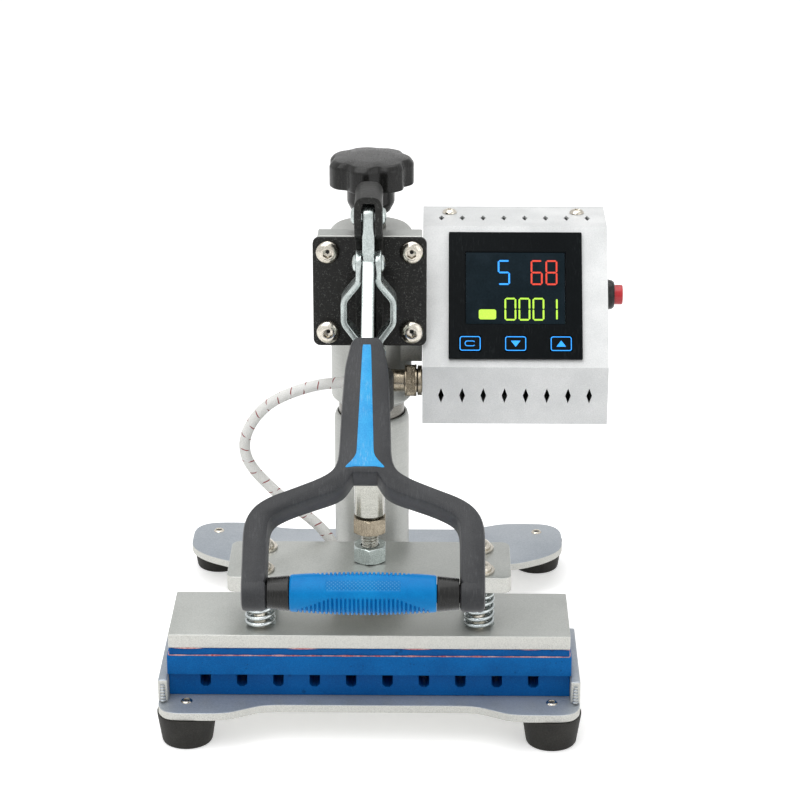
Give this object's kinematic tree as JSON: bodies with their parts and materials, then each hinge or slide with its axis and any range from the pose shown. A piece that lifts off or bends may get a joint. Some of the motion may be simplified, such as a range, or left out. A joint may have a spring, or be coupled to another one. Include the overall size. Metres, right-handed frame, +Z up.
{
  "type": "pen heat press",
  "caption": "Benchtop swing-away heat press for pens: grooved tray, sprung heated platen, toggle clamp with forked handle, swivel column and control box.",
  "frame": {"origin": "middle of the object's box on the surface that it stands on", "axes": "+Z up, +Y from the handle's side to the rear feet, +X to the side of the control box"},
  "size_m": [0.2806, 0.4022, 0.338],
  "materials": {
    "silver_paint": "fine hammered silver paint",
    "platen_alloy": "matt sparkle silver",
    "box_paint": "fine textured grey paint",
    "black_crinkle": "black crinkle paint",
    "turned_steel": "turned, lightly oiled",
    "bright_steel": "bright plated",
    "zinc_steel": "zinc plated",
    "nickel_brass": "nickel plated",
    "foot_rubber": "matt black",
    "tray_silicone": "matt blue silicone",
    "grip_rubber": "ribbed blue",
    "blue_plastic": "lightly scuffed blue",
    "fork_plastic": "satin charcoal",
    "knob_plastic": "glossy black",
    "bezel_plastic": "glossy black",
    "inlet_plastic": "matt black",
    "button_red": "glossy red",
    "display_glass": "dark display",
    "board_green": "solder mask",
    "cable_sleeve": "braided glass-fibre sleeve"
  },
  "bodies": {
    "base": {"base_plate": "silver_paint", "foot_front_left": "foot_rubber", "foot_front_right": "foot_rubber", "foot_rear_left": "foot_rubber", "foot_rear_right": "foot_rubber", "pen_tray": "tray_silicone", "column": "silver_paint"},
    "post": {"swivel_post": "turned_steel"},
    "head": {"head_sleeve": "silver_paint", "sleeve_cap": "silver_paint", "backing_plate": "silver_paint", "toggle_bracket": "black_crinkle", "plunger_guide": "black_crinkle", "pivot_pin": "bright_steel", "plate_bolt_low_left": "bright_steel", "plate_bolt_top_left": "bright_steel", "plate_bolt_low_right": "bright_steel", "plate_bolt_top_right": "bright_steel", "box_shell": "box_paint", "box_back": "box_paint", "box_brace": "silver_paint", "mains_inlet": "inlet_plastic", "display_bezel": "bezel_plastic", "display_glass": "display_glass", "control_board": "board_green", "button_ring": "bezel_plastic", "connector_socket": "nickel_brass", "connector_ring": "nickel_brass", "connector_plug": "nickel_brass", "heater_cable": "cable_sleeve"},
    "set_key": {"key_set": "bezel_plastic"},
    "down_key": {"key_down": "bezel_plastic"},
    "up_key": {"key_up": "bezel_plastic"},
    "button": {"power_button": "button_red"},
    "knob": {"star_knob": "knob_plastic", "adjusting_screw": "turned_steel"},
    "handle": {"handle_bar": "zinc_steel", "handle_fork": "fork_plastic", "fork_inlay": "blue_plastic", "grip_bar": "knob_plastic", "grip_sleeve": "grip_rubber", "link_pin": "bright_steel"},
    "links": {"link_left": "zinc_steel", "link_right": "zinc_steel"},
    "carriage": {"plunger": "turned_steel", "jam_nut_upper": "turned_steel", "jam_nut_lower": "turned_steel", "mount_plate": "platen_alloy"},
    "platen": {"heater_cover": "platen_alloy", "heater_block": "tray_silicone", "silicone_pad": "tray_silicone", "cable_gland": "nickel_brass", "spring_bolt_front_left": "bright_steel", "spring_bolt_front_right": "bright_steel", "spring_bolt_rear_left": "bright_steel", "spring_bolt_rear_right": "bright_steel", "spring_front_left": "bright_steel", "spring_front_right": "bright_steel", "spring_rear_left": "bright_steel", "spring_rear_right": "bright_steel"}
  },
  "joints": [
    {"name": "head_swing", "type": "hinge", "parent": "base", "child": "post", "pos_m": [-0.0123, 0.02365, 0.16], "axis": [0, 0, 1], "range_deg": [-60, 60]},
    {"name": "head_height", "type": "slide", "parent": "post", "child": "head", "axis": [0, 0, 1], "range_m": [0, 0.01]},
    {"name": "knob_turn", "type": "hinge", "parent": "head", "child": "knob", "pos_m": [-0.0123, 0.02365, 0.31], "axis": [0, 0, 1], "range_deg": [0, 2058]},
    {"name": "handle_swing", "type": "hinge", "parent": "head", "child": "handle", "pos_m": [-0.0123, -0.03835, 0.319], "axis": [-1, 0, 0], "range_deg": [0, 90]},
    {"name": "link_swing", "type": "hinge", "parent": "handle", "child": "links", "pos_m": [-0.0123, -0.03835, 0.2905], "axis": [1, 0, 0], "range_deg": [0, 121]},
    {"name": "plunger_slide", "type": "slide", "parent": "head", "child": "carriage", "axis": [0, 0, 1], "range_m": [0, 0.0365], "deforming": ["heater_cable"]},
    {"name": "platen_float", "type": "slide", "parent": "carriage", "child": "platen", "axis": [0, 0, 1], "range_m": [0, 0.005], "stiffness_N_per_m": 16000, "springref_m": -0.002, "deforming": ["spring_front_left", "spring_front_right", "spring_rear_left", "spring_rear_right"]},
    {"name": "set_key_push", "type": "slide", "parent": "head", "child": "set_key", "axis": [0, 0.8236, -0.5671], "range_m": [0, 0.0004], "stiffness_N_per_m": 1500, "springref_m": -0.0003},
    {"name": "down_key_push", "type": "slide", "parent": "head", "child": "down_key", "axis": [0, 0.8236, -0.5671], "range_m": [0, 0.0004], "stiffness_N_per_m": 1500, "springref_m": -0.0003},
    {"name": "up_key_push", "type": "slide", "parent": "head", "child": "up_key", "axis": [0, 0.8236, -0.5671], "range_m": [0, 0.0004], "stiffness_N_per_m": 1500, "springref_m": -0.0003},
    {"name": "power_button_push", "type": "slide", "parent": "head", "child": "button", "axis": [-1, 0, 0], "range_m": [0, 0.002], "stiffness_N_per_m": 400, "springref_m": -0.001}
  ],
  "couplings": [
    {"joint": "knob_turn", "follows": "head_height", "rad_per_m": 3590.4},
    {"joint": "link_swing", "follows": "handle_swing", "ratio": 1.3433},
    {"joint": "plunger_slide", "follows": "handle_swing", "m_per_rad": 0.023158}
  ]
}
